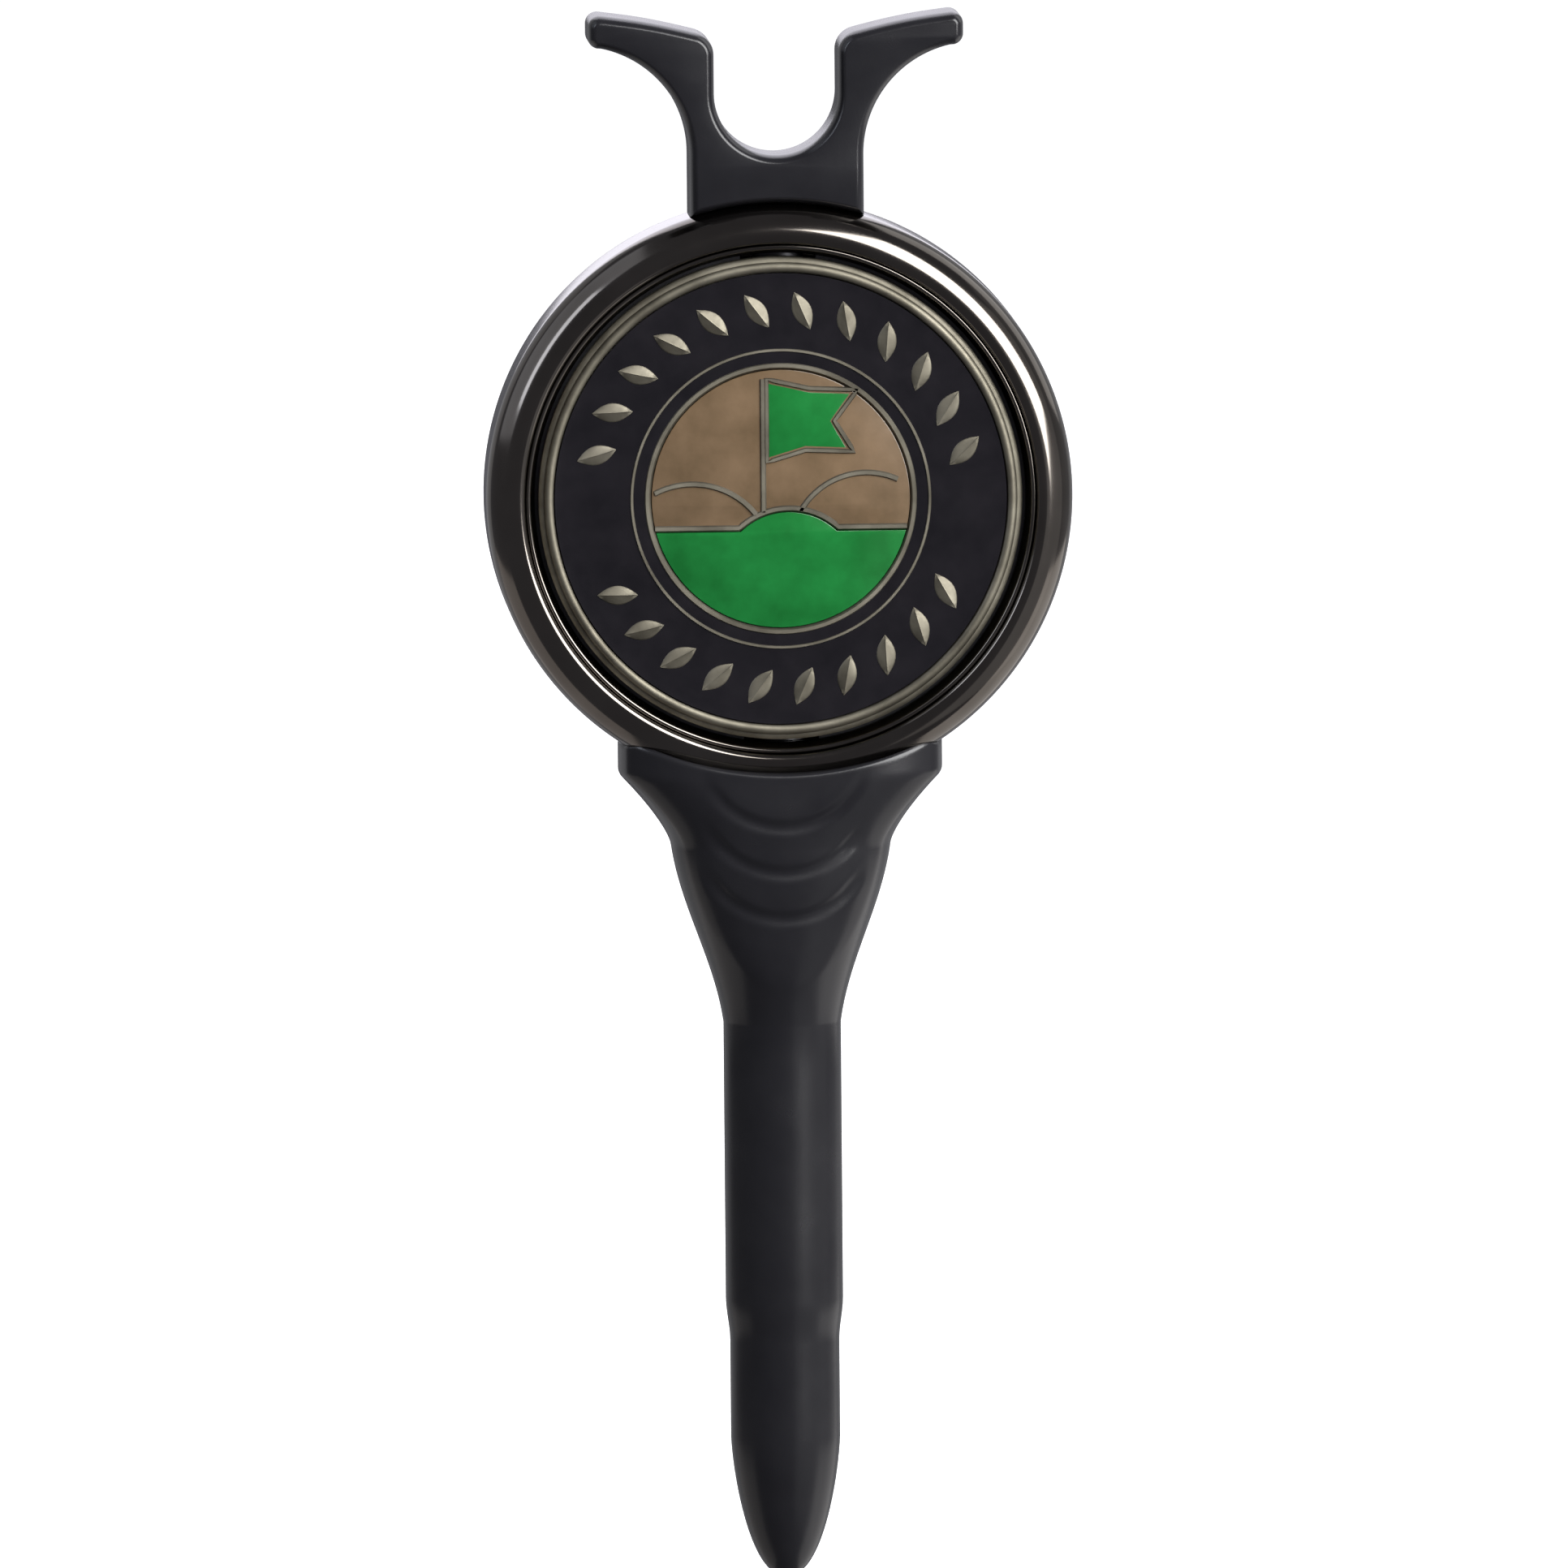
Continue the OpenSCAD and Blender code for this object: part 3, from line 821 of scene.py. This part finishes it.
def build_floor():
    """A plain round floor just under the point of the spike; sizes in metres."""
    floor_r, drop = 6.0, 0.0002
    bm = bmesh.new()
    bmesh.ops.create_circle(bm, cap_ends=True, segments=96, radius=floor_r)
    mesh = bpy.data.meshes.new("studio_floor")
    bm.to_mesh(mesh)
    bm.free()
    floor = bpy.data.objects.new("studio_floor", mesh)
    floor.location.z = -drop
    bpy.context.collection.objects.link(floor)
    mesh.materials.append(floor_material())
    floor.visible_glossy = False
    floor.visible_diffuse = False
    floor.visible_shadow = False


def panel(name, target, around, off_axis, distance, size, radiance, colour=(1, 1, 1)):
    """A soft box that faces the target. Seen from the front, it lies off_axis degrees away from the
    camera's side, in the direction around (0 is right, 90 is up). Its size is (along that circle,
    across it); lengths are in metres."""
    a, t = math.radians(around), math.radians(off_axis)
    away = Vector((math.cos(a) * math.sin(t), -math.cos(t), math.sin(a) * math.sin(t)))
    along = Vector((-math.sin(a), 0, math.cos(a)))
    across = away.cross(along)
    light = bpy.data.lights.new(name, "AREA")
    light.shape = "RECTANGLE"
    light.size, light.size_y = size
    light.energy = math.pi * size[0] * size[1] * radiance
    light.color = colour
    obj = bpy.data.objects.new(name, light)
    turn = Matrix((along, across, away)).transposed().to_4x4()
    obj.matrix_world = Matrix.Translation(Vector(target) + away * distance) @ turn
    obj.visible_camera = False
    bpy.context.collection.objects.link(obj)


def build_world():
    """The camera sees white; the tool sees a dark room round the soft boxes."""
    world = bpy.data.worlds.new("studio")
    bpy.context.scene.world = world
    world.use_nodes = True
    tree = world.node_tree
    tree.nodes.clear()
    out = tree.nodes.new("ShaderNodeOutputWorld")
    mix = tree.nodes.new("ShaderNodeMixShader")
    path = tree.nodes.new("ShaderNodeLightPath")
    seen = tree.nodes.new("ShaderNodeBackground")
    seen.inputs["Color"].default_value = (1, 1, 1, 1)
    lit = tree.nodes.new("ShaderNodeBackground")
    lit.inputs["Color"].default_value = (0.13, 0.13, 0.145, 1)
    tree.links.new(path.outputs["Is Camera Ray"], mix.inputs["Fac"])
    tree.links.new(lit.outputs[0], mix.inputs[1])
    tree.links.new(seen.outputs[0], mix.inputs[2])
    tree.links.new(mix.outputs[0], out.inputs["Surface"])


def build_lights():
    """A key, dim cards and narrow edge lights, placed by the reflections that the photograph shows."""
    case_centre = (0, 0, CASE_Z * MM)
    middle = (0, 0, (tee_lo.z + fork_hi.z) / 2 * MM)
    panel("key", case_centre, 38, 48, 0.45, (0.42, 0.33), 12)
    panel("card_right", middle, 0, 56, 0.5, (0.9, 0.75), 0.26)
    panel("card_far_right", middle, 0, 112, 0.5, (0.9, 0.3), 0.11)
    panel("edge_upper_right", case_centre, 38, 122, 0.45, (0.4, 0.2), 0.9)
    panel("edge_lower_right", case_centre, 320, 104, 0.45, (0.36, 0.54), 0.9, (1, 0.97, 0.94))
    panel("edge_lower_left", case_centre, 222, 105, 0.45, (0.36, 0.45), 0.42, (1, 0.93, 0.88))
    panel("accent_upper_left", case_centre, 148, 70, 0.45, (0.24, 0.11), 4.0, (0.8, 0.87, 1))
    panel("card_upper_left", case_centre, 145, 92, 0.45, (0.45, 0.5), 0.55, (0.85, 0.9, 1))
    panel("back_above", middle, 90, 154, 0.7, (0.4, 0.56), 1.5, (0.93, 0.91, 1))
    panel("back_left", middle, 180, 150, 0.6, (0.9, 0.4), 0.22)
    panel("back_right", middle, 0, 150, 0.6, (0.9, 0.4), 0.22)


def build_camera():
    """The photograph's view: nearly head on, a little from above and the left, leaning by half a degree."""
    lens, sensor = 600, 36
    frame_height = 81.2
    target = Vector((0.2, 0, 41.35))
    azimuth, elevation, lean = math.radians(-3.0), math.radians(6), math.radians(0.48)
    distance = frame_height * lens / sensor
    back = Vector((
        math.sin(azimuth) * math.cos(elevation),
        -math.cos(azimuth) * math.cos(elevation),
        math.sin(elevation),
    ))
    data = bpy.data.cameras.new("camera")
    data.lens, data.sensor_width = lens, sensor
    data.clip_start, data.clip_end = 0.01, 30
    camera = bpy.data.objects.new("camera", data)
    bpy.context.scene.collection.objects.link(camera)
    camera.location = (target + back * distance) * MM
    camera.rotation_mode = "QUATERNION"
    camera.rotation_quaternion = Quaternion(back, -lean) @ (-back).to_track_quat("-Z", "Y")
    bpy.context.scene.camera = camera
    bpy.context.scene.view_settings.view_transform = "Standard"


# ---------------------------------------------------------------- assembly

build_camera()
build_world()
build_lights()
build_floor()

black = matt_black()
nickel = black_nickel("black_nickel")
place(build_tee(), TOOL, "matt_black", black, "tee_spike")
place(build_fork(), TOOL, "matt_black", black, "fork_rest")
place(build_case(), TOOL, "black_nickel", nickel, "case_ring")
place(build_bezel(), TOOL, "black_nickel", nickel, "marker_bezel")
place(build_cover(), TOOL, "black_nickel", black_nickel("black_nickel_cover", 0.2), "back_cover")
place(build_marker(), MARKER, "marker_metal", struck_metal(), "marker_base")

enamels = [
    ("enamel_black", build_enamel_black, "black_enamel", (0.005, 0.0045, 0.006), (0.009, 0.008, 0.01)),
    ("enamel_green", build_enamel_green, "green_enamel", (0.005, 0.105, 0.018), (0.009, 0.155, 0.03)),
    ("enamel_sky", build_enamel_sky, "copper_enamel", (0.1, 0.066, 0.036), (0.15, 0.1, 0.058)),
]
for node, build, slot, dark, light in enamels:
    place(build(), MARKER, slot, enamel(slot, dark, light), node)

# the pieces inside keep their CAD meshes
inner_finishes = {
    "seat_plate": plated_steel("zinc_plate", (0.05, 0.05, 0.052), (0.075, 0.075, 0.08), 0.4),
    "marker_magnet": plated_steel("magnet_nickel", (0.6, 0.6, 0.6), (0.72, 0.72, 0.71), 0.16),
    "spike_screw": plated_steel("screw_steel", (0.05, 0.05, 0.052), (0.08, 0.08, 0.085), 0.35),
}
for twin in ("fork_screw", "spike_washer", "fork_washer"):
    inner_finishes[twin] = inner_finishes["spike_screw"]
for node, material in inner_finishes.items():
    wear(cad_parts[node], material)
